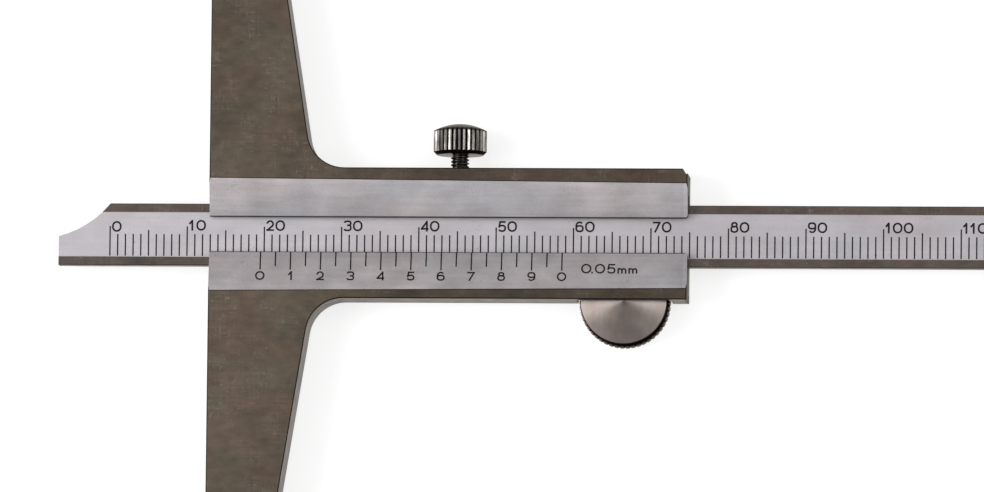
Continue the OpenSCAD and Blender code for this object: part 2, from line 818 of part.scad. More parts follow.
// Thumb roller: fluted rim behind, smooth disc in front, hub on the beam between them
module thumb_roller() {
    flute_r = rim_flute_share * 2 * PI * rim_r / rim_flutes / sqrt(2);
    color(turned)
        translate([roller_x, roller_y, 0])
            difference() {
                rotate_extrude()
                    roller_profile();
                for (i = [0:rim_flutes - 1])
                    rotate(360 * i / rim_flutes)
                        translate([rim_r, 0, rim_back_z - cut])
                            cylinder(r = flute_r, h = rim_front_z - rim_back_z + cut + slide_gap, $fn = 4);
            }
}

// Pin riveted in the spring arm, on which the roller turns
module roller_axle() {
    color(dark_steel)
        translate([roller_x, roller_y, arm_back_z])
            cylinder(r = axle_r, h = axle_top_z - arm_back_z);
}

// Flat spring that presses the roller onto the beam
module roller_arm() {
    color(spring_steel)
        difference() {
            translate([0, 0, arm_back_z])
                linear_extrude(arm_t)
                    arm_plan(0);
            translate([roller_x, roller_y, back_z - cut])
                cylinder(r = axle_r + seat_gap, h = body_t);
            at_arm_screws()
                translate([0, 0, arm_back_z])
                    flat_screw(arm_screw_r, arm_screw_head_r, body_t, thread_gap, cut);
        }
}

// Two small countersunk screws that hold the spring arm to the back plate
module roller_arm_screws() {
    color(dark_steel)
        at_arm_screws()
            translate([0, 0, arm_back_z])
                difference() {
                    flat_screw(arm_screw_r, arm_screw_head_r, arm_screw_len, 0);
                    translate([-reach / 2, -slot_w / 2, -cut])
                        cube([reach, slot_w, slot_d + cut]);
                }
}

// Ink in the beam's lines, longer at each fifth and tenth millimetre
module beam_graduations() {
    color(ink)
        translate([zero_x, line_low_y, strip_z])
            for (mm = [0:scale_mm]) {
                length = mm % 10 == 0 ? line_ten : mm % 5 == 0 ? line_five : line_short;
                translate([mm - line_w / 2, 0, 0])
                    cube([line_w, length, ink_t]);
            }
}

// Ink in the beam's numbers, one beside each ten millimetre line
module beam_numbers() {
    color(ink)
        translate([zero_x + line_w / 2 + beam_fig_side, beam_fig_y, strip_z])
            for (mm = [0:10:scale_mm])
                translate([mm, mm == 0 ? -zero_fig_drop : 0, 0])
                    figure_row(digits(mm), beam_hand, beam_fig_gap);
}

// Ink in the vernier's lines, which start at the window's lower lip
module vernier_graduations() {
    color(ink)
        for (i = [0:vernier_divisions]) {
            length = i % label_step == 0 ? vernier_long : vernier_short;
            on_band(zero_offset + i * vernier_pitch, -window_y)
                translate([-line_w / 2, -length / cos(band_angle), 0])
                    cube([line_w, length / cos(band_angle), ink_t]);
        }
}

// Ink in the vernier's figures, centred under its longer lines
module vernier_numbers() {
    color(ink)
        for (i = [0:label_step:vernier_divisions]) {
            mark = (i / label_step) % 10;
            half = (vernier_stroke_w + figure_w(mark, vernier_hand)) / 2;
            on_band(zero_offset + i * vernier_pitch, vernier_fig_y)
                translate([-half, 0, 0])
                    figure_row([mark], vernier_hand, 0);
        }
}

// Ink in the mark that gives the resolution
module resolution_mark() {
    color(ink)
        on_band(mark_x, mark_y)
            figure_row([0, point_mark, 0, 5, m_mark, m_mark], mark_hand, mark_fig_gap);
}

base_frame();
back_plate();
back_plate_screws();
gib_strip();
gib_set_screws();
lock_pad();
lock_screw();
depth_beam();
beam_stop_screw();
thumb_roller();
roller_axle();
roller_arm();
roller_arm_screws();
beam_graduations();
beam_numbers();
vernier_graduations();
vernier_numbers();
resolution_mark();
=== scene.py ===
# %% [markdown]
# A vernier depth gauge, finished for a picture. Its solids come ready made from
# the CAD model. This lesson gives them a camera, light and the finishes of real
# steel: lapped faces, satin scale faces, turned and fluted knobs and inked lines.
# Blender works in metres. Sizes of the gauge are written here in millimetres, and
# MM turns them into metres. Lamps, floor and clipping are large and stay in metres.

# %% Load the packed gauge
import math

import bpy
import numpy as np
from mathutils import Matrix, Vector


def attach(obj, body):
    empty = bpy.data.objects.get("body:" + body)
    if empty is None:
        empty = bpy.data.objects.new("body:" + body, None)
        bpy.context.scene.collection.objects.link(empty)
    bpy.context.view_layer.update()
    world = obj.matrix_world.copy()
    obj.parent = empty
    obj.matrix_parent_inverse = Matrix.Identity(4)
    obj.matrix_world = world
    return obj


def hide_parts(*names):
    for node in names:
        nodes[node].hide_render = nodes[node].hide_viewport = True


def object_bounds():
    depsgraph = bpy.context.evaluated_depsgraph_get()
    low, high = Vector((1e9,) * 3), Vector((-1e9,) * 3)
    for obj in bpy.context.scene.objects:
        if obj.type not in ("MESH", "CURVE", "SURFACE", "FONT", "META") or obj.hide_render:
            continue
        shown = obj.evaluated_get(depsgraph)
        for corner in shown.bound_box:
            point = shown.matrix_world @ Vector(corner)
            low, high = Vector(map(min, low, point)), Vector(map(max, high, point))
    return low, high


MM = 0.001
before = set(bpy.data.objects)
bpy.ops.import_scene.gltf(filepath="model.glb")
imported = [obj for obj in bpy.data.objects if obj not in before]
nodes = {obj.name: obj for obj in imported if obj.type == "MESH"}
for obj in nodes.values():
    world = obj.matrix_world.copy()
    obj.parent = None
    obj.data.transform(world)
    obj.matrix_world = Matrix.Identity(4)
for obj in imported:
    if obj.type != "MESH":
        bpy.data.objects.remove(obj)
cad_box = [list(corner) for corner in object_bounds()]


def in_mm(corners):
    """Corners in millimetres, rounded for a print."""
    return [[round(x / MM, 2) for x in corner] for corner in corners]


print("nodes:", len(nodes), "box in mm:", in_mm(cad_box))

# %% [markdown]
# The photograph was taken from almost straight above through a long lens. A
# camera can be placed by eye, but a gauge is ruled in true millimetres, so this
# one was fitted to the gauge's own lines. The fit gives three small turns, a
# shift and a focal length in pixels, and they are used just as they are.

# %% Camera
FRAME_W = 984
SENSOR_W = 36.0
FOCAL_PX = 14556.527
TURN_X, TURN_Y, TURN_Z = -0.09521, -0.07230, -0.00411
AIM = Vector((25.0, 0.0, 0.0))
SHIFT = Vector((-11.3798, 1.29274, -1878.734))
CLIP_START, CLIP_END = 0.1, 20.0


def add_camera():
    """Places the camera so that a point P is seen at turn @ (P - AIM) + SHIFT."""
    turn = (
        Matrix.Rotation(TURN_Z, 3, "Z")
        @ Matrix.Rotation(TURN_Y, 3, "Y")
        @ Matrix.Rotation(TURN_X, 3, "X")
    )
    place = (AIM - turn.transposed() @ SHIFT) * MM
    data = bpy.data.cameras.new("camera")
    data.sensor_width = SENSOR_W
    data.lens = FOCAL_PX * SENSOR_W / FRAME_W
    data.clip_start = CLIP_START
    data.clip_end = CLIP_END
    camera = bpy.data.objects.new("camera", data)
    camera.matrix_world = Matrix.Translation(place) @ turn.transposed().to_4x4()
    bpy.context.scene.collection.objects.link(camera)
    bpy.context.scene.camera = camera
    return camera


camera = add_camera()
print("camera at", [round(x, 3) for x in camera.matrix_world.translation], "m")

# %% [markdown]
# Shader maths could be drawn as a net of boxes, but it is easier to read as a
# formula. A Wire is one output of a shader node, and each operator on it adds
# one Math node, so that 1.0 - mask means what it says.

# %% A wire


class Wire:
    """One output of a shader node; arithmetic on it adds Math nodes."""

    def __init__(self, net, socket):
        self.net = net
        self.socket = socket

    def math(self, operation, first, second=0.0):
        return self.net.node("Math", {"operation": operation}, {0: first, 1: second})

    def __add__(self, other):
        return self.math("ADD", self, other)

    def __sub__(self, other):
        return self.math("SUBTRACT", self, other)

    def __rsub__(self, other):
        return self.math("SUBTRACT", other, self)

    def __mul__(self, other):
        return self.math("MULTIPLY", self, other)

    def __truediv__(self, other):
        return self.math("DIVIDE", self, other)

    def __rtruediv__(self, other):
        return self.math("DIVIDE", other, self)

    def __gt__(self, other):
        return self.math("GREATER_THAN", self, other)

    def __lt__(self, other):
        return self.math("LESS_THAN", self, other)

    def __abs__(self):
        return self.math("ABSOLUTE", self)

    __radd__ = __add__
    __rmul__ = __mul__

    def clamped(self):
        """The value, held between zero and one."""
        return self.math("MAXIMUM", self.math("MINIMUM", self, 1.0), 0.0)

    def ramp(self, low, high):
        """Zero up to low, one from high on, and straight between them."""
        return ((self - low) / (high - low)).clamped()


print("a Wire knows:", " ".join(sorted(name for name in vars(Wire) if name.endswith("__"))))

# %% [markdown]
# Every other node is made in one way too: a Net takes the node's type, its
# settings, and what its sockets get, by name or by number. Colours and vectors
# go through Mix and Vector Math, because a Math node would turn them grey.

# %% A net of nodes


class Net:
    """A node tree that gets its nodes from one method."""

    def __init__(self, tree):
        self.tree = tree

    def plug(self, socket, value):
        """Links a Wire to the socket, or sets the socket to a plain value."""
        if isinstance(value, Wire):
            self.tree.links.new(value.socket, socket)
        else:
            socket.default_value = value

    def node(self, kind, settings, sockets, output=0):
        """Adds a node, sets it up, fills its sockets, and returns the Wire of one output."""
        node = self.tree.nodes.new("ShaderNode" + kind)
        for key, value in settings.items():
            setattr(node, key, value)
        for key, value in sockets.items():
            self.plug(node.inputs[key], value)
        return Wire(self, node.outputs[output])

    def parts(self, vector):
        """The X, Y and Z of a vector."""
        first = self.node("SeparateXYZ", {}, {0: vector})
        return [Wire(self, output) for output in first.socket.node.outputs]

    def mixed(self, share, first, second):
        """Colour between first and second by share."""
        return self.node("Mix", {"data_type": "RGBA"}, {0: share, 6: first, 7: second}, output=2)

    def scaled(self, colour, factor):
        """Colour times a number, or part by part times a triple."""
        return self.node("VectorMath", {"operation": "MULTIPLY"}, {0: colour, 1: factor})


print("a Net can:", " ".join(name for name in vars(Net) if not name.startswith("_")))

# %% [markdown]
# A Finish is the Net of one material with one Principled shader. Its noises
# read Object coordinates, so a pattern keeps its place on the steel when a
# piece moves or is exported. What is the same all over a piece is set on the
# shader's own socket, and only what changes over the surface is linked.

# %% A finish
MIDDLE = 0.5


class Finish(Net):
    """A material with one Principled shader, built from formulas."""

    def __init__(self, name, **constants):
        self.material = bpy.data.materials.new(name)
        self.material.use_nodes = True
        super().__init__(self.material.node_tree)
        self.shader = self.tree.nodes["Principled BSDF"]
        self.set(**constants)

    def set(self, **values):
        """Fills the shader's sockets, named with _ for a space, and returns the material."""
        for key, value in values.items():
            self.plug(self.shader.inputs[key.replace("_", " ")], value)
        return self.material

    def place(self, stretch=(1.0, 1.0, 1.0)):
        """Object coordinates in millimetres, each axis times its stretch."""
        metres = self.node("TexCoord", {}, {}, output="Object")
        scale = [s / MM for s in stretch]
        return self.node("VectorMath", {"operation": "MULTIPLY"}, {0: metres, 1: scale})

    def facing(self):
        """The X, Y and Z of the surface's normal."""
        return self.parts(self.node("TexCoord", {}, {}, output="Normal"))

    def noise(self, size, stretch=(1.0, 1.0, 1.0), detail=2.0):
        """Noise about zero, with blotches about size millimetres wide."""
        sockets = {"Vector": self.place(stretch), "Scale": 1.0 / size, "Detail": detail}
        return self.node("TexNoise", {}, sockets) - MIDDLE

    def bump(self, height, depth):
        """Bumps of height times depth millimetres turn the shader's normal."""
        self.set(Normal=self.node("Bump", {}, {"Height": height, "Distance": depth * MM}))


def dress(material, *names):
    """Gives CAD nodes one material; their meshes stay as they are."""
    for name in names:
        slots = nodes[name].data.materials
        slots.clear()
        slots.append(material)
    print(material.name, "on", ", ".join(names), "-", len(material.node_tree.nodes), "shader nodes")


print("a Finish can:", " ".join(name for name in vars(Finish) if not name.startswith("_")))

# %% [markdown]
# Steel shows what stands round it, so the room matters as much as the lamps. A
# picture of a studio could stand round the gauge, but a formula needs no file
# and each side can be set by itself. This world is lightest on the left and
# right, as between two soft boxes, and darker in front and behind. Its bright
# axis is turned a little, because the fan of light on the roller in the
# photograph is turned too. To the camera the world is white.

# %% World
ZENITH = 0.85
LEFT, RIGHT, FRONT_BACK = 1.42, 0.52, 0.14
BRIGHT_AXIS = math.radians(8.0)
SIDE_REACH = 0.7
FAR_FROM_TOP, NEAR_TOP = 0.80, 0.97
TINY = 0.0001
BLACK, WHITE = (0.0, 0.0, 0.0, 1.0), (1.0, 1.0, 1.0, 1.0)


def add_world():
    """ZENITH overhead; lower down LEFT or RIGHT along the bright axis and FRONT_BACK across it."""
    world = bpy.data.worlds.new("studio")
    world.use_nodes = True
    net = Net(world.node_tree)
    x, y, z = net.parts(net.node("TexCoord", {}, {}, output="Generated"))
    along = x * math.cos(BRIGHT_AXIS) + y * math.sin(BRIGHT_AXIS)
    across = y * math.cos(BRIGHT_AXIS) - x * math.sin(BRIGHT_AXIS)
    share = across * across / (along * along + across * across + TINY)
    sides = LEFT + (RIGHT - LEFT) * along.ramp(-SIDE_REACH, SIDE_REACH)
    around = sides * (1.0 - share) + FRONT_BACK * share
    height = z.ramp(FAR_FROM_TOP, NEAR_TOP)
    strength = around * (1.0 - height) + ZENITH * height
    seen = net.node("LightPath", {}, {}, output="Is Camera Ray")
    background = world.node_tree.nodes["Background"]
    net.plug(background.inputs["Color"], WHITE)
    net.plug(background.inputs["Strength"], strength * (1.0 - seen) + seen)
    bpy.context.scene.world = world
    bpy.context.scene.view_settings.view_transform = "Standard"


add_world()
print("world: zenith", ZENITH, "left", LEFT, "right", RIGHT, "front and back", FRONT_BACK)

# %% [markdown]
# Two wide lamps stand halfway up on the left and the right. A sun would give
# hard streaks on turned steel, and a wide lamp gives soft ones. The body's two
# satin bands lean to opposite sides, so the lamps' azimuths decide how evenly
# they are lit, and the lamps stay close to the X axis for that reason.

# %% Lamps


def add_lamp(name, azimuth, height, distance, size, watts):
    """A square area lamp that looks at the gauge from an azimuth and a height in degrees."""
    data = bpy.data.lights.new(name, "AREA")
    data.shape = "SQUARE"
    data.size = size
    data.energy = watts
    lamp = bpy.data.objects.new(name, data)
    a = math.radians(azimuth)
    h = math.radians(height)
    way = Vector((math.cos(a) * math.cos(h), math.sin(a) * math.cos(h), math.sin(h)))
    lamp.location = way * distance
    lamp.rotation_euler = way.to_track_quat("Z", "Y").to_euler()
    bpy.context.scene.collection.objects.link(lamp)
    print(name, "at", [round(x, 2) for x in lamp.location], "m with", watts, "W")


add_lamp("lamp_left", azimuth=181.0, height=45.0, distance=1.2, size=0.6, watts=6.2)
add_lamp("lamp_right", azimuth=6.0, height=42.0, distance=1.3, size=0.6, watts=3.3)

# %% [markdown]
# The gauge lies on a white sheet. A sheet that only glows would lose the
# object's shadow, so this one is grey to the lamps and glows on top of that, and
# only to rays from the camera or from a mirror-like face. The two together come
# out white, and a soft shadow stays.

# %% Floor
FLOOR_REACH = 3.0
FLOOR_GLOW, FLOOR_GREY = 0.72, 0.42


def add_floor():
    """One wide square under the gauge, white to the camera and in reflections."""
    low = cad_box[0][2]
    corners = [[-1, -1], [1, -1], [1, 1], [-1, 1]]
    points = [[x * FLOOR_REACH, y * FLOOR_REACH, low] for x, y in corners]
    mesh = bpy.data.meshes.new("floor")
    mesh.from_pydata(points, [], [[0, 1, 2, 3]])
    floor = bpy.data.objects.new("floor", mesh)
    bpy.context.scene.collection.objects.link(floor)
    finish = Finish("floor", Roughness=1.0, Specular_IOR_Level=0.0, Emission_Strength=FLOOR_GLOW)
    rays = ("Is Camera Ray", "Is Glossy Ray", "Is Transmission Ray")
    first, second, third = [finish.node("LightPath", {}, {}, output=ray) for ray in rays]
    seen = (first + second + third).clamped()
    grey = (FLOOR_GREY, FLOOR_GREY, FLOOR_GREY, 1.0)
    finish.set(Base_Color=grey, Emission_Color=finish.mixed(seen, BLACK, WHITE))
    mesh.materials.append(finish.material)
    print("floor at", round(low / MM, 2), "mm")


add_floor()

# %% [markdown]
# Faces that bear or are held are lapped: dark, cloudy, between brown and olive,
# with fine straight marks and a few bright ticks where a rag or a vice has
# rubbed. One noise would look like fog, so clouds of several sizes are added,
# and noises stretched along X or Y make the marks.

# %% Colour of lapped steel
LAPPED_DARK, LAPPED_PALE = (0.062, 0.049, 0.038, 1.0), (0.188, 0.148, 0.110, 1.0)
LAPPED_GREEN, LAPPED_RED = (0.102, 0.100, 0.080, 1.0), (0.148, 0.098, 0.077, 1.0)
SPECK = (0.27, 0.25, 0.22, 1.0)
WIDE = (0.6, 1.0, 1.0)
MARKS_ON_X, MARKS_ON_Y = (0.06, 1.0, 1.0), (1.0, 0.07, 1.0)
TICKS_ON_X, TICKS_ON_Y = (0.3, 1.0, 1.0), (1.0, 0.3, 1.0)
CLOUD_SIZE, CLOUD_SHARE = 7.0, 1.8
BLOT_SIZE, BLOT_SHARE = 1.0, 1.3
TINT_SIZE, TINT_SHARE, TINTED = 4.0, 2.3, 0.5
MARK_SIZE, MARK_ON_X_SHARE, MARK_ON_Y_SHARE = 0.3, 1.1, 0.9
RUBBED_SIZE, RUBBED_FROM, RUBBED_TO = 3.5, -0.05, 0.12
TICK_ON_X_FROM, TICK_ON_Y_FROM, TICK_TO, TICK_SHARE = 0.10, 0.11, 0.20, 0.3
SPECK_SIZE, SPECK_FROM, SPECK_TO, SPECK_SHARE = 0.3, 0.13, 0.25, 0.6
GROUP_SIZE, GROUP_FROM, GROUP_TO = 6.0, 0.05, 0.15


def lapped_field(finish):
    """Colour of lapped steel: clouds of many sizes, faint marks along X and Y, specks in groups."""
    clouds = finish.noise(CLOUD_SIZE, detail=5.0) * CLOUD_SHARE
    clouds = clouds + finish.noise(BLOT_SIZE, WIDE, detail=4.0) * BLOT_SHARE
    rubbed = finish.noise(RUBBED_SIZE).ramp(RUBBED_FROM, RUBBED_TO)
    on_x = finish.noise(MARK_SIZE, MARKS_ON_X)
    on_y = finish.noise(MARK_SIZE, MARKS_ON_Y)
    marks = (on_x * MARK_ON_X_SHARE + on_y * MARK_ON_Y_SHARE) * rubbed
    ticks = finish.noise(MARK_SIZE, TICKS_ON_X).ramp(TICK_ON_X_FROM, TICK_TO)
    ticks = ticks + finish.noise(MARK_SIZE, TICKS_ON_Y).ramp(TICK_ON_Y_FROM, TICK_TO)
    colour = finish.mixed((clouds + marks + MIDDLE).clamped(), LAPPED_DARK, LAPPED_PALE)
    tint = (finish.noise(TINT_SIZE, WIDE, detail=4.0) * TINT_SHARE + MIDDLE).clamped()
    colour = finish.mixed(TINTED, colour, finish.mixed(tint, LAPPED_GREEN, LAPPED_RED))
    colour = finish.mixed((ticks * rubbed).clamped() * TICK_SHARE, colour, SPECK)
    groups = finish.noise(GROUP_SIZE).ramp(GROUP_FROM, GROUP_TO)
    specks = finish.noise(SPECK_SIZE).ramp(SPECK_FROM, SPECK_TO) * groups
    return finish.mixed(specks * SPECK_SHARE, colour, SPECK), marks


def as_seen(colour):
    """A linear colour as the 0 to 255 numbers of a picture."""
    return [round(255 * (1.055 * part ** (1 / 2.4) - 0.055)) for part in colour[:3]]


print("lapped from", as_seen(LAPPED_DARK), "to", as_seen(LAPPED_PALE), "specks", as_seen(SPECK))

# %% [markdown]
# Faces that carry a scale are satin, so that lines stand out and nothing
# glares. A flat grey would look like paint: the real face drifts between a cool
# and a warm grey, has soft streaks along the beam, a fine grain and a few pits.

# %% Colour of satin steel
DRIFT_SIZE, DRIFT_SHARE, DRIFT_STRETCH = 8.0, 3.0, (0.5, 1.0, 1.0)
HAZE_SIZE, HAZE_SHARE, HAZE_STRETCH = 3.0, 0.7, (0.7, 1.0, 1.0)
STREAK_SIZE, STREAK_SHARE, STREAK_STRETCH = 0.5, 0.25, (0.05, 1.0, 1.0)
GRAIN_SIZE, GRAIN_SHARE = 0.16, 0.3
PIT_SIZE, PIT_FROM, PIT_TO, PIT_SHARE = 0.22, 0.16, 0.24, 0.3
PIT_GROUP_SIZE, PIT_GROUP_FROM, PIT_GROUP_TO = 4.0, 0.04, 0.12


def satin_field(finish, cool, warm, contrast):
    """Colour of satin steel: drift from cool to warm, times one plus haze, streaks and grain, less pits."""
    drift = (finish.noise(DRIFT_SIZE, DRIFT_STRETCH) * DRIFT_SHARE + MIDDLE).clamped()
    grain = finish.noise(GRAIN_SIZE)
    haze = finish.noise(HAZE_SIZE, HAZE_STRETCH, detail=4.0) * HAZE_SHARE
    streaks = finish.noise(STREAK_SIZE, STREAK_STRETCH) * STREAK_SHARE
    groups = finish.noise(PIT_GROUP_SIZE).ramp(PIT_GROUP_FROM, PIT_GROUP_TO)
    pits = finish.noise(PIT_SIZE, detail=1.0).ramp(PIT_FROM, PIT_TO) * groups
    shade = (haze + streaks + grain * GRAIN_SHARE) * contrast - pits * PIT_SHARE + 1.0
    return finish.scaled(finish.mixed(drift, cool, warm), shade), grain


BAND_COOL, BAND_WARM = (0.440, 0.440, 0.462, 1.0), (0.507, 0.462, 0.472, 1.0)
BEAM_COOL, BEAM_WARM = (0.515, 0.500, 0.527, 1.0), (0.552, 0.504, 0.532, 1.0)
print("bands from", as_seen(BAND_COOL), "to", as_seen(BAND_WARM))
print("beam from", as_seen(BEAM_COOL), "to", as_seen(BEAM_WARM))

# %% [markdown]
# Side faces are ground along their length. Modelled strokes would be too fine
# to see as shapes, so a noise stretched along X and Y paints them, with soft
# patches. The broken edges between the faces are narrow and dark, because a
# small bevel mirrors the dark part of the room, and that dark reflection is
# painted into their colour.

# %% Colour of ground sides
GROUND_DARK, GROUND_PALE = (0.20, 0.182, 0.168, 1.0), (0.40, 0.375, 0.355, 1.0)
# A painted dark reflection for the broken edges between the faces.
EDGE_REFLECTION = (0.035, 0.031, 0.027, 1.0)
STROKE_SIZE, STROKE_SHARE, STROKE_STRETCH = 0.25, 1.4, (0.12, 0.12, 1.0)
PATCH_SIZE, PATCH_SHARE = 1.6, 1.5


def ground_field(finish):
    """Colour of ground sides: fine strokes along the side, and soft patches."""
    strokes = finish.noise(STROKE_SIZE, STROKE_STRETCH, detail=3.0)
    patches = finish.noise(PATCH_SIZE, detail=3.0)
    share = (strokes * STROKE_SHARE + patches * PATCH_SHARE + MIDDLE).clamped()
    return finish.mixed(share, GROUND_DARK, GROUND_PALE), strokes


print("ground from", as_seen(GROUND_DARK), "to", as_seen(GROUND_PALE), "edges", as_seen(EDGE_REFLECTION))

# %% [markdown]
# Shade is painted on the body. Its upright faces get painted shade in the
# window and over the roller, and at the rear end and the foot. The narrow
# lapped strips beside the satin bands get darker towards the rear, and a thin
# line of painted shadow, as under a small step, parts them from the bands.
# Each of these is a mask made of a point's place in millimetres and of the
# way its face looks.

# %% Masks of the body
REAR_X, BACK_Z = 61.8, -3.25
ROLLER_X, ROLLER_Y, DISC_R = 53.6, -8.38, 5.6
FLAT, UPRIGHT, SIDEWAYS = 0.9, 0.35, 0.9
FRONT_X, ROOM = 0.4, 0.3
# Tones left by painted shade: inside the window, at the rear end and at the foot.
INSIDE_Y, INSIDE_SHADE_TONE = 8.2, 0.10
REAR_SHADE_TONE, FOOT_SHADE_TONE, FOOT_RIM = 0.38, 0.35, 0.35
UPPER_BAND_Y, LOWER_BAND_Y, BAND_LOSS = 7.14, 7.38, 0.5
# Width and depth of a thin line of painted shadow along each band.
STEP_SHADOW_W, STEP_SHADOW_DARK = 0.12, 0.6
STRIPS_START, STRIPS_END, UPPER_DARK, LOWER_DARK = 10.0, 24.0, 0.20, 0.34


def band_edge(x, y):
    """Distance of a band's outer edge from the middle; both bands narrow towards the rear."""
    return UPPER_BAND_Y + (LOWER_BAND_Y - UPPER_BAND_Y) * (y < 0.0) - BAND_LOSS / REAR_X * x


def side_shade(x, y, z, ny):
    """How light the body's upright faces are, with painted shade inside, over the roller, at the rear and
    at the foot.
    """
    within = (abs(y) < INSIDE_Y) * (x > FRONT_X) * (x < REAR_X - ROOM)
    over_roller = (abs(x - ROLLER_X) < DISC_R + ROOM) * (y < ROLLER_Y + ROOM)
    # Painted shade inside the window and on the faces over the roller, then at the rear end and at the
    # foot.
    shaded = (within + over_roller * (abs(ny) > SIDEWAYS)).clamped()
    rear = (x > REAR_X - ROOM) * (1.0 - REAR_SHADE_TONE)
    foot = (z < BACK_Z + FOOT_RIM) * (1.0 - FOOT_SHADE_TONE)
    return (1.0 - shaded * (1.0 - INSIDE_SHADE_TONE)) * (1.0 - rear) * (1.0 - foot)


def strip_tone(x, y, nz):
    """How light the body's lapped faces are: darker towards the rear, and a thin line of painted shadow at
    each band.
    """
    darkest = UPPER_DARK + (LOWER_DARK - UPPER_DARK) * (y < 0.0)
    darker = x.ramp(STRIPS_START, STRIPS_END) * darkest
    # A thin line of painted shadow along the edge of each band.
    line = (abs(y) < band_edge(x, y) + STEP_SHADOW_W) * (x < REAR_X) * (nz > 0.0) * STEP_SHADOW_DARK
    return (1.0 - darker) * (1.0 - line)


ends = [round(UPPER_BAND_Y - BAND_LOSS, 2), round(BAND_LOSS - LOWER_BAND_Y, 2)]
print("at the rear the bands end at Y =", ends, "mm")

# %% [markdown]
# One finish serves body, beam and cover. Three materials on one solid would
# need its mesh cut up, so masks pick the field of each point instead: lapped
# where a face is flat, ground where it is upright, a painted dark reflection on
# the bevels between them, and satin where the piece says so. Plain metal turns
# white when it is seen at a slant. Oil and wear hold that back on old steel, and
# SLANT_TINT does so here.

# %% Steel of body, beam and cover
SLANT_TINT = (0.55, 0.53, 0.50, 1.0)
LAPPED_ROUGH, SATIN_ROUGHER, GROUND_ROUGHER = 0.34, 0.16, 0.1
MARK_HEIGHT, STROKE_HEIGHT, BUMP_DEPTH = 0.5, 0.5, 0.004
BELOW_ALL = -10.0


def steel(name, satin_part, cool, warm, contrast=1.0, body=0.0, deep=BELOW_ALL, tint=(1.0, 1.0, 1.0)):
    """Lapped steel with ground sides, a painted dark reflection on broken edges, and satin where satin_part
    says so.

    body is 1.0 where the masks of the body count. Lapped faces below deep, a
    height in millimetres, get painted shade, because they lie within the body.
    """
    finish = Finish(name, Metallic=1.0, Specular_Tint=SLANT_TINT)
    _, ny, nz = finish.facing()
    x, y, z = finish.parts(finish.place())
    flat = abs(nz) > FLAT
    upright = abs(nz) < UPRIGHT
    satin, satin_tone = satin_part(x, y, z, ny, nz)
    lapped, marks = lapped_field(finish)
    # Lapped faces that lie within the body get painted shade.
    inside = (z < deep) * (nz > 0.0) * (1.0 - INSIDE_SHADE_TONE)
    tone = (1.0 - (1.0 - strip_tone(x, y, nz)) * body) * (1.0 - inside)
    lapped = finish.scaled(finish.scaled(lapped, tint), tone)
    scale_face, grain = satin_field(finish, cool, warm, contrast)
    ground, strokes = ground_field(finish)
    # The body's upright faces get painted shade.
    ground = finish.scaled(ground, 1.0 - (1.0 - side_shade(x, y, z, ny)) * body)
    # Bevels between the faces get a painted dark reflection.
    colour = finish.mixed(upright, EDGE_REFLECTION, ground)
    colour = finish.mixed(flat, colour, lapped)
    colour = finish.mixed(satin, colour, finish.scaled(scale_face, satin_tone))
    height = marks * (1.0 - satin) * MARK_HEIGHT + grain * satin
    finish.bump(height + strokes * upright * STROKE_HEIGHT, BUMP_DEPTH)
    rough = LAPPED_ROUGH + satin * SATIN_ROUGHER + upright * GROUND_ROUGHER
    return finish.set(Base_Color=colour, Roughness=rough)


print("metal at a slant is held back to", as_seen(SLANT_TINT))

# %% [markdown]
# On the body the satin bands are the two faces that lean towards the beam, so
# their normals tell them apart. They are paler far from the window, the lip of
# the window gets a line of painted shade, the lower band gets painted light, and
# their rear edge a painted highlight. On the beam the satin strip lies a little
# lower than the lands beside it, and its height tells it apart. The beam's tone
# is set in the beam's own coordinates, so it moves with the beam.

# %% Body and beam
# Painted shade at the window's lip, a painted highlight on the bands' rear edge and painted light on the
# lower band.
WINDOW_Y, LIP, LIP_SHADE_TONE = 2.27, 0.09, 0.2
BAND_LEAN, BAND_OUTER_Y, BAND_INNER_TONE, BAND_RISE = 0.15, 7.2, 0.93, 0.20
REAR_HIGHLIGHT_X, REAR_HIGHLIGHT, LOWER_BAND_LIGHT = 61.3, 0.12, 0.07
STRIP_Z, LAND_Z = 0.83, 0.95
BRIGHTEST, BRIGHT_X, DIM_REACH, DIM = 1.05, 2.0, 60.0, 0.09
BEAM_TINT = (0.98, 0.98, 1.10)
INSIDE_Z = 1.8


def band(x, y, z, ny, nz):
    """Satin where a face leans by about 15 degrees, paler away from the window, with painted shade at the
    lip, painted light on the lower band and a painted highlight at the rear edge.
    """
    tone = BAND_INNER_TONE + BAND_RISE * abs(y).ramp(WINDOW_Y, BAND_OUTER_Y)
    # Painted shade at the lip, painted light on the lower band, a painted highlight on the rear edge.
    lip = (abs(y) < WINDOW_Y + LIP) * (1.0 - LIP_SHADE_TONE)
    painted_light = (x > REAR_HIGHLIGHT_X) * REAR_HIGHLIGHT + (y < 0.0) * LOWER_BAND_LIGHT + 1.0
    return (abs(ny) > BAND_LEAN) * (nz > FLAT), tone * (1.0 - lip) * painted_light


def strip(x, y, z, ny, nz):
    """Satin on the beam's recessed strip, brightest at BRIGHT_X."""
    tone = BRIGHTEST - DIM * abs(x - BRIGHT_X).ramp(0.0, DIM_REACH)
    return (z < (STRIP_Z + LAND_Z) / 2) * (nz > FLAT), tone


def nowhere(x, y, z, ny, nz):
    """No satin at all."""
    return ny * 0.0, ny * 0.0


body_steel = steel("body_steel", band, BAND_COOL, BAND_WARM, body=1.0, deep=INSIDE_Z)
beam_steel = steel("beam_steel", strip, BEAM_COOL, BEAM_WARM, contrast=0.5, tint=BEAM_TINT)
cover_steel = steel("cover_steel", nowhere, BAND_COOL, BAND_WARM, deep=INSIDE_Z)
dress(body_steel, "base_frame")
dress(beam_steel, "depth_beam")
dress(cover_steel, "back_plate")

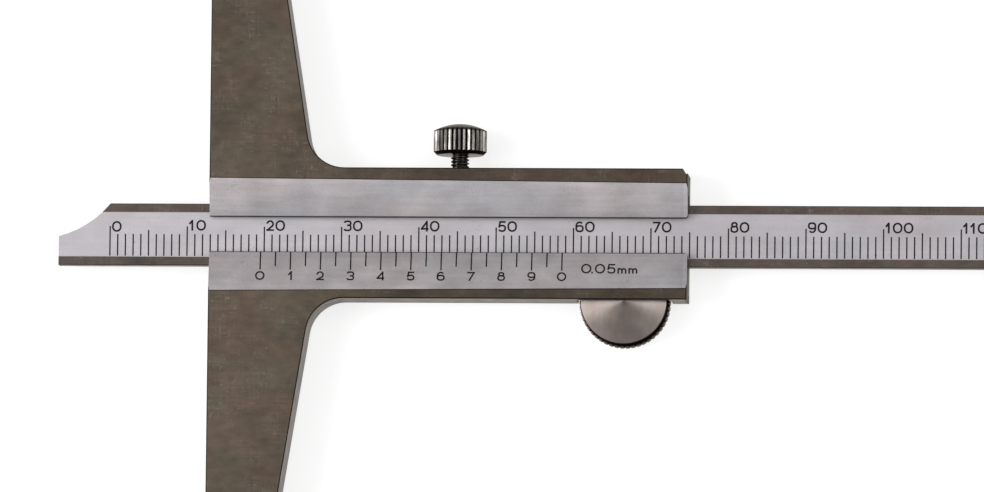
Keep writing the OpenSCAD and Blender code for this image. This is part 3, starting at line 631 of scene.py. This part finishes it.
# %% [markdown]
# Small fittings sit inside and behind such a gauge: blackened screws, a rolled
# spring arm behind the roller, and brass between lock screw and beam, because
# brass is softer than the beam. Their solids are right as they are, so they only
# need a metal whose tone wanders, in long marks on rolled or milled stock.

# %% Fittings
MARK_CONTRAST, WANDER = 1.4, 5.0
ROUGHNESS_WANDER = 0.2
SCREW_DARK, SCREW_PALE = (0.05, 0.048, 0.045, 1.0), (0.13, 0.125, 0.12, 1.0)
SPRING_DARK, SPRING_PALE = (0.24, 0.24, 0.25, 1.0), (0.36, 0.36, 0.37, 1.0)
BRASS_DARK, BRASS_PALE = (0.50, 0.33, 0.12, 1.0), (0.68, 0.47, 0.2, 1.0)
ROLLED = (0.1, 1.0, 1.0)


def plain_metal(name, dark, pale, roughness, size, stretch=(1.0, 1.0, 1.0)):
    """Metal whose tone wanders between dark and pale in marks of that size."""
    finish = Finish(name, Metallic=1.0)
    marks = finish.noise(size, stretch, detail=3.0)
    share = (marks * MARK_CONTRAST + finish.noise(size * WANDER) + MIDDLE).clamped()
    finish.bump(marks, BUMP_DEPTH)
    rough = roughness + marks * ROUGHNESS_WANDER
    return finish.set(Base_Color=finish.mixed(share, dark, pale), Roughness=rough)


dark_screws = plain_metal("dark_screws", SCREW_DARK, SCREW_PALE, roughness=0.38, size=0.4)
spring_strip = plain_metal("spring_strip", SPRING_DARK, SPRING_PALE, 0.3, 0.3, ROLLED)
milled_brass = plain_metal("milled_brass", BRASS_DARK, BRASS_PALE, 0.32, 0.25, ROLLED)
dress(dark_screws, "back_plate_screws", "gib_set_screws", "beam_stop_screw")
dress(dark_screws, "roller_axle", "roller_arm_screws")
dress(spring_strip, "roller_arm")
dress(milled_brass, "gib_strip", "lock_pad")

# %% [markdown]
# The lines and figures are engraved and filled on the real gauge. A picture of
# the scale could be laid on the steel, but the CAD model has a thin solid for
# each line and figure, so only a material is needed. The ink is not quite black,
# matt, and a little thinner in places, as filled lines are.

# %% Ink
INK_DARK, INK_THIN = (0.004, 0.004, 0.005, 1.0), (0.014, 0.013, 0.014, 1.0)
INK_SIZE, INK_SHARE, INK_MEAN = 0.25, 1.2, 0.4
INK_GLOSS, INK_ROUGH, INK_THIN_ROUGHER = 0.2, 0.6, 0.2


def ink(name):
    """Dark ink that is a little thinner in places."""
    finish = Finish(name, Metallic=0.0, Specular_IOR_Level=INK_GLOSS)
    share = (finish.noise(INK_SIZE) * INK_SHARE + INK_MEAN).clamped()
    colour = finish.mixed(share, INK_DARK, INK_THIN)
    return finish.set(Base_Color=colour, Roughness=INK_ROUGH + share * INK_THIN_ROUGHER)


scale_ink = ink("scale_ink")
dress(scale_ink, "beam_graduations", "beam_numbers")
dress(scale_ink, "vernier_graduations", "vernier_numbers", "resolution_mark")

# %% [markdown]
# The roller and the lock screw are turned pieces. Blender's Spin or Screw would
# give their round forms, but not flutes and a thread in one skin, so both are
# one surface: a profile carried round an axis. Flutes and thread only change
# how far that surface is from the axis, as a function of angle and height.

# %% Profiles and flutes
CORNER_ROOM = 2.5
ARC_STEPS = 4


def rounded(corners, radius):
    """The corners of a profile, each cut back by radius and joined by a short arc.

    An arc is start times (1 - t) squared, plus twice the corner times t (1 - t),
    plus end times t squared. It takes no more of a side than its length over
    CORNER_ROOM.
    """
    points = np.array(corners, float)
    before = points[:-2] - points[1:-1]
    after = points[2:] - points[1:-1]
    room_before = np.linalg.norm(before, axis=1, keepdims=True)
    room_after = np.linalg.norm(after, axis=1, keepdims=True)
    reach = np.minimum(radius, np.minimum(room_before, room_after) / CORNER_ROOM)
    start = (points[1:-1] + before / room_before * reach)[:, None]
    end = (points[1:-1] + after / room_after * reach)[:, None]
    t = np.linspace(0.0, 1.0, ARC_STEPS)[None, :, None]
    arcs = start * (1 - t) ** 2 + 2 * points[1:-1][:, None] * t * (1 - t) + end * t**2
    return np.vstack([points[:1], arcs.reshape(-1, 2), points[-1:]])


def flutes(angle, count, width):
    """Zero on a crest and one in a root: a V of that share of the pitch, count times round the axis."""
    from_root = np.abs((angle * count / (2 * np.pi)) % 1.0 * 2.0 - 1.0)
    return np.clip(1.0 - from_root / width, 0.0, 1.0)


print("one flute in five steps:", flutes(np.linspace(0.0, 2 * np.pi, 5), 1, 1.0))

# %% [markdown]
# The surface itself is a grid of rings and columns. Both ends are closed with a
# fan of triangles, so the piece is a closed solid, and faces point outwards. Each
# point keeps a number from zero on a crest to one in a root, and that number
# sets the painted shade, nearly black in roots and hidden parts. A mask in the
# shader could find the roots again, but the mesh already knows them.

# %% Turned surfaces
SHARP = math.radians(32.0)


def turned(name, centre, axis, side, radius, height, depth):
    """Closed surface of rings: centre + height * axis + radius * (cos a * side + sin a * (axis x side)).

    radius and height are arrays of one row for each ring and one column for each
    angle. The first and the last ring are closed with a fan. depth is kept as an
    attribute that tells a crest from a root.
    """
    axis = np.array(axis, float)
    side = np.array(side, float)
    other = np.cross(axis, side)
    rings, columns = radius.shape
    angle = np.arange(columns) * 2 * np.pi / columns
    around = np.cos(angle)[:, None] * side + np.sin(angle)[:, None] * other
    grid = np.array(centre) + height[..., None] * axis + radius[..., None] * around
    points = np.vstack([grid.reshape(-1, 3), grid[[0, -1]].mean(axis=1)]) * MM
    index = np.arange(rings * columns).reshape(rings, columns)
    right = np.roll(index, -1, axis=1)
    quads = np.stack([index[:-1], right[:-1], right[1:], index[1:]], axis=-1).reshape(-1, 4)
    start = np.column_stack([right[0], index[0], np.full(columns, rings * columns)])
    end = np.column_stack([index[-1], right[-1], np.full(columns, rings * columns + 1)])
    mesh = bpy.data.meshes.new(name)
    mesh.from_pydata(points.tolist(), [], quads.tolist() + start.tolist() + end.tolist())
    mesh.polygons.foreach_set("use_smooth", np.ones(len(mesh.polygons), bool))
    values = np.append(depth.ravel(), depth[[0, -1]].mean(axis=1))
    layer = mesh.attributes.new("groove", "FLOAT", "POINT")
    layer.data.foreach_set("value", values.astype(np.float32))
    mesh.set_sharp_from_angle(angle=SHARP)
    piece = bpy.data.objects.new(name, mesh)
    bpy.context.scene.collection.objects.link(piece)
    print(name, "rings:", rings, "columns:", columns, "faces:", len(mesh.polygons))
    return piece


print("edges sharper than", round(math.degrees(SHARP)), "degrees stay sharp")

# %% [markdown]
# A face turned on a lathe has fine rings, which spread light across them, so a
# round face shines in a fan. Modelled rings would be far too fine, and a picture
# of a fan would slide when the piece turns. Anisotropy about the piece's own
# axis gives a fan that follows the light, as the real one does.

# %% Steel of turned pieces
TURNED_SIZE, TURNED_SHARE = 1.8, 1.8
STAIN_SIZE, STAIN_STRETCH = 0.35, (1.0, 0.2, 1.0)
TOOL_SIZE, TOOL_DEPTH = 0.15, 0.003
# How strongly roots and hidden parts take the painted shade.
ROOT_SHADE_SHARE = 1.3
ACROSS_RINGS = 0.25


def turned_steel(name, dark, pale, root, roughness, ribs, anisotropy=0.0):
    """Bright turned steel that wanders between dark and pale, with painted shade, nearly black, in its
    grooves and hidden parts.
    """
    shine = {"Anisotropic": anisotropy, "Anisotropic_Rotation": ACROSS_RINGS, "Specular_Tint": SLANT_TINT}
    finish = Finish(name, Metallic=1.0, **shine)
    groove = finish.node("Attribute", {"attribute_name": "groove"}, {}, output="Fac")
    clouds = finish.noise(TURNED_SIZE, detail=4.0) * TURNED_SHARE
    stains = finish.noise(STAIN_SIZE, STAIN_STRETCH) * ribs
    colour = finish.mixed((clouds + stains + MIDDLE).clamped(), dark, pale)
    # Roots and hidden parts get painted shade, nearly black.
    colour = finish.mixed((groove * ROOT_SHADE_SHARE).clamped(), colour, root)
    finish.bump(finish.noise(TOOL_SIZE), TOOL_DEPTH)
    return finish.set(Base_Color=colour, Roughness=roughness)


# The third tone of each is the painted shade of roots and hidden parts.
DISC_TONES = (0.33, 0.275, 0.25, 1.0), (0.45, 0.395, 0.365, 1.0), (0.008, 0.007, 0.006, 1.0)
KNOB_TONES = (0.15, 0.138, 0.128, 1.0), (0.42, 0.395, 0.365, 1.0), (0.008, 0.008, 0.007, 1.0)
roller_steel = turned_steel("roller_steel", *DISC_TONES, roughness=0.5, ribs=0.6, anisotropy=0.95)
lock_steel = turned_steel("lock_steel", *KNOB_TONES, roughness=0.26, ribs=3.0)
print("roller from", as_seen(DISC_TONES[0]), "to", as_seen(DISC_TONES[1]))
print("lock screw from", as_seen(KNOB_TONES[0]), "to", as_seen(KNOB_TONES[1]))

# %% [markdown]
# The thumb roller has three steps: a fluted rim behind, a hub that rolls on the
# beam's edge, and a bright disc in front, a little lower at its rim. What
# lies between disc and rim gets painted shade, and so does the disc's small
# bevel. The profile starts in the bore of the axle, goes out round the rim and
# ends in the middle of the disc.

# %% Thumb roller
RIM_R, RIM_BACK, RIM_FRONT, RIM_BEVEL, BACK_BEVEL = 5.9, -2.65, -1.15, 0.4, 0.3
HUB_R = 4.35
DISC_BACK, DISC_FRONT, DISC_EDGE, DISC_SAG, CENTRE_R = 1.05, 1.65, 0.13, 0.06, 0.05
BORE_R, BORE_TOP = 1.03, 1.03
ROLLER_ROUNDING = 0.03
RIM_FLUTES, RIM_FLUTE_DEPTH, RIM_FLUTE_W, RIM_DARK = 50, 0.14, 0.5, 0.12
FLUTE_COLUMNS = 12
BRIGHT_DEPTH = 0.035
# The masks on a profile end this far past or short of one of its corners.
SLACK, FACE_SLACK = 0.05, 0.1

ROLLER_PROFILE = [
    (0.0, BORE_TOP), (BORE_R, BORE_TOP), (BORE_R, RIM_BACK), (RIM_R - BACK_BEVEL, RIM_BACK),
    (RIM_R, RIM_BACK + BACK_BEVEL), (RIM_R, RIM_FRONT - RIM_BEVEL), (RIM_R - RIM_BEVEL, RIM_FRONT),
    (HUB_R, RIM_FRONT), (HUB_R, DISC_BACK), (DISC_R, DISC_BACK), (DISC_R, DISC_FRONT - DISC_EDGE),
    (DISC_R - DISC_EDGE, DISC_FRONT), (CENTRE_R, DISC_FRONT),
]


def thumb_roller():
    """Profile from the blind bore out over the rim, hub and disc; flutes cut the rim only.

    On the rim the radius is RIM_R less the flute's depth, where the profile is
    wider than that. The disc sinks by DISC_SAG times the square of the radius.
    """
    profile = rounded(ROLLER_PROFILE, ROLLER_ROUNDING)[1:]
    columns = RIM_FLUTES * FLUTE_COLUMNS
    angle = np.arange(columns) * 2 * np.pi / columns
    groove = flutes(angle, RIM_FLUTES, RIM_FLUTE_W)[None, :]
    ring_r = profile[:, :1]
    ring_z = profile[:, 1:]
    on_rim = (ring_z <= RIM_FRONT + SLACK) & (ring_r > RIM_R - RIM_BEVEL - SLACK)
    radius = np.where(on_rim, np.minimum(ring_r, RIM_R - RIM_FLUTE_DEPTH * groove), ring_r)
    sag = DISC_SAG * (ring_z > DISC_BACK + FACE_SLACK) * (ring_r / DISC_R) ** 2
    height = np.repeat(ring_z - sag, columns, axis=1)
    # The disc's front and the rim's back keep their steel; between disc and rim, on the disc's small bevel,
    # in the bore and in the flute roots the steel gets painted shade.
    bright = (ring_z > DISC_FRONT - BRIGHT_DEPTH) | (ring_z < RIM_BACK + FACE_SLACK)
    painted_shade = np.repeat(np.where(bright, 0.0, 1.0), columns, axis=1)
    toothed = on_rim & (ring_z < RIM_FRONT - FACE_SLACK)
    depth = np.where(toothed, np.maximum(groove, RIM_DARK), painted_shade)
    return turned("roller", (ROLLER_X, ROLLER_Y, 0.0), (0, 0, 1), (1, 0, 0), radius, height, depth)


roller = thumb_roller()
roller.data.materials.append(roller_steel)
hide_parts("thumb_roller")
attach(roller, "roller")

# %% [markdown]
# The lock screw is one turned piece too: a thread, a bevelled underside, a
# straight knurl and a lens-shaped top. The thread is a real helix, so its
# radius depends on the climb less the pitch times the share of a turn. The
# knurl is bright on its ribs only, with painted shade in its roots; thread and
# bevel get painted shade, and the top a painted dark reflection. The number of
# ribs and their turn were counted and measured in the photograph.

# %% Lock screw
LOCK_X, LOCK_Z = 32.2, 0.25
LOCK_TIP_Y, LOCK_SEAT_Y = 6.005, 10.45
THREAD_R, THREAD_PITCH, THREAD_DEPTH = 1.2, 0.45, 0.26
TOOTH_TOP, TOOTH_SLOPE, RUN_OUT, RINGS_A_PITCH = 1.25, 1.5, 0.2, 10
HEAD_R, HEAD_BEVEL, KNURL_H = 3.425, 0.45, 2.7
DOME_H, DOME_RINGS, DOME_HOLE_SHARE = 0.9, 14, 0.02
SHOULDER_H, SHOULDER_W, DOME_STEP, HEAD_ROUNDING = 0.25, 0.02, 0.05, 0.05
KNURLS, KNURL_DEPTH, KNURL_W, KNURL_TURN = 32, 0.26, 0.82, 5 / 6
# Painted shade on the underside bevel and the thread, and a painted dark reflection on the top, darker at
# its rim.
BEVEL_SHADE, BEVEL_SLACK_Z, BEVEL_SLACK_R = 0.9, 0.03, 0.02
TOP_DARK_REFLECTION, TOP_RIM_DARKER_REFLECTION, TOP_RIM_SHARE = 0.42, 0.3, 0.8
THREAD_SHADE, CREST_BRIGHTER = 0.64, 0.15
LOCK_LENGTH = LOCK_SEAT_Y - LOCK_TIP_Y


def thread(angle):
    """Rings of the thread: THREAD_R less its depth where no tooth is.

    A point's share of a turn past the tooth is its climb over the pitch less its
    angle over a full turn. The tooth is a cut-off V of that share, and it fades
    out at both ends.
    """
    rings = int(LOCK_LENGTH / THREAD_PITCH * RINGS_A_PITCH)
    climb = np.linspace(0.0, LOCK_LENGTH, rings)[:, None]
    turn = (climb / THREAD_PITCH - angle / (2 * np.pi)) % 1.0
    tooth = np.clip(TOOTH_TOP - np.abs(turn * 2 - 1) * TOOTH_SLOPE, 0.0, 1.0)
    tooth = tooth * np.clip(climb / THREAD_PITCH, 0.0, 1.0)
    tooth = tooth * np.clip((LOCK_LENGTH - climb) / RUN_OUT, 0.0, 1.0)
    radius = THREAD_R - THREAD_DEPTH * (1.0 - tooth)
    height = np.repeat(climb, angle.size, axis=1)
    # The thread gets painted shade, a little less on its crests.
    return radius, height, THREAD_SHADE - CREST_BRIGHTER * tooth


def knob(angle):
    """Rings of the head: a profile of underside, bevel, knurl and dome, cut by the flutes.

    The radius is the profile's, or HEAD_R less the flute's depth where that is
    smaller. The dome's height falls with the square of the radius.
    """
    top = HEAD_BEVEL + KNURL_H
    side = [
        (THREAD_R - THREAD_DEPTH, 0.0), (HEAD_R - HEAD_BEVEL, 0.0), (HEAD_R, HEAD_BEVEL),
        (HEAD_R, top / 2), (HEAD_R, top - SHOULDER_H), (HEAD_R - SHOULDER_W, top - DOME_STEP),
    ]
    dome = np.linspace(1.0, DOME_HOLE_SHARE, DOME_RINGS)
    cap = np.column_stack([HEAD_R * dome, top + DOME_H * (1.0 - dome**2)])
    profile = np.vstack([rounded(side, HEAD_ROUNDING), cap])
    ring_r = profile[:, :1]
    ring_z = profile[:, 1:]
    groove = flutes(angle + KNURL_TURN * 2 * np.pi / KNURLS, KNURLS, KNURL_W)
    floor = HEAD_R - KNURL_DEPTH * groove
    # Knurl roots and the underside bevel get painted shade, and the top a painted dark reflection.
    cut = (ring_r > floor) * groove
    bevel = (ring_z < HEAD_BEVEL - BEVEL_SLACK_Z) & (ring_r > HEAD_R - HEAD_BEVEL - BEVEL_SLACK_R)
    top_reflection = TOP_DARK_REFLECTION + TOP_RIM_DARKER_REFLECTION * (ring_r > HEAD_R * TOP_RIM_SHARE)
    painted_dark = np.where(bevel, BEVEL_SHADE, np.where(ring_z > top - FACE_SLACK, top_reflection, 0.0))
    height = np.repeat(ring_z + LOCK_LENGTH, angle.size, axis=1)
    return np.minimum(ring_r, floor), height, np.maximum(cut, painted_dark)


def lock_screw():
    """Rings from the tip up: those of the thread, then those of the head."""
    columns = KNURLS * FLUTE_COLUMNS
    angle = np.arange(columns)[None, :] * 2 * np.pi / columns
    radius, height, depth = [np.vstack(pair) for pair in zip(thread(angle), knob(angle))]
    tip = (LOCK_X, LOCK_TIP_Y, LOCK_Z)
    return turned("lock_screw_piece", tip, (0, 1, 0), (1, 0, 0), radius, height, depth)


lock = lock_screw()
lock.data.materials.append(lock_steel)
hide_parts("lock_screw")
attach(lock, "lock_screw")

# %% [markdown]
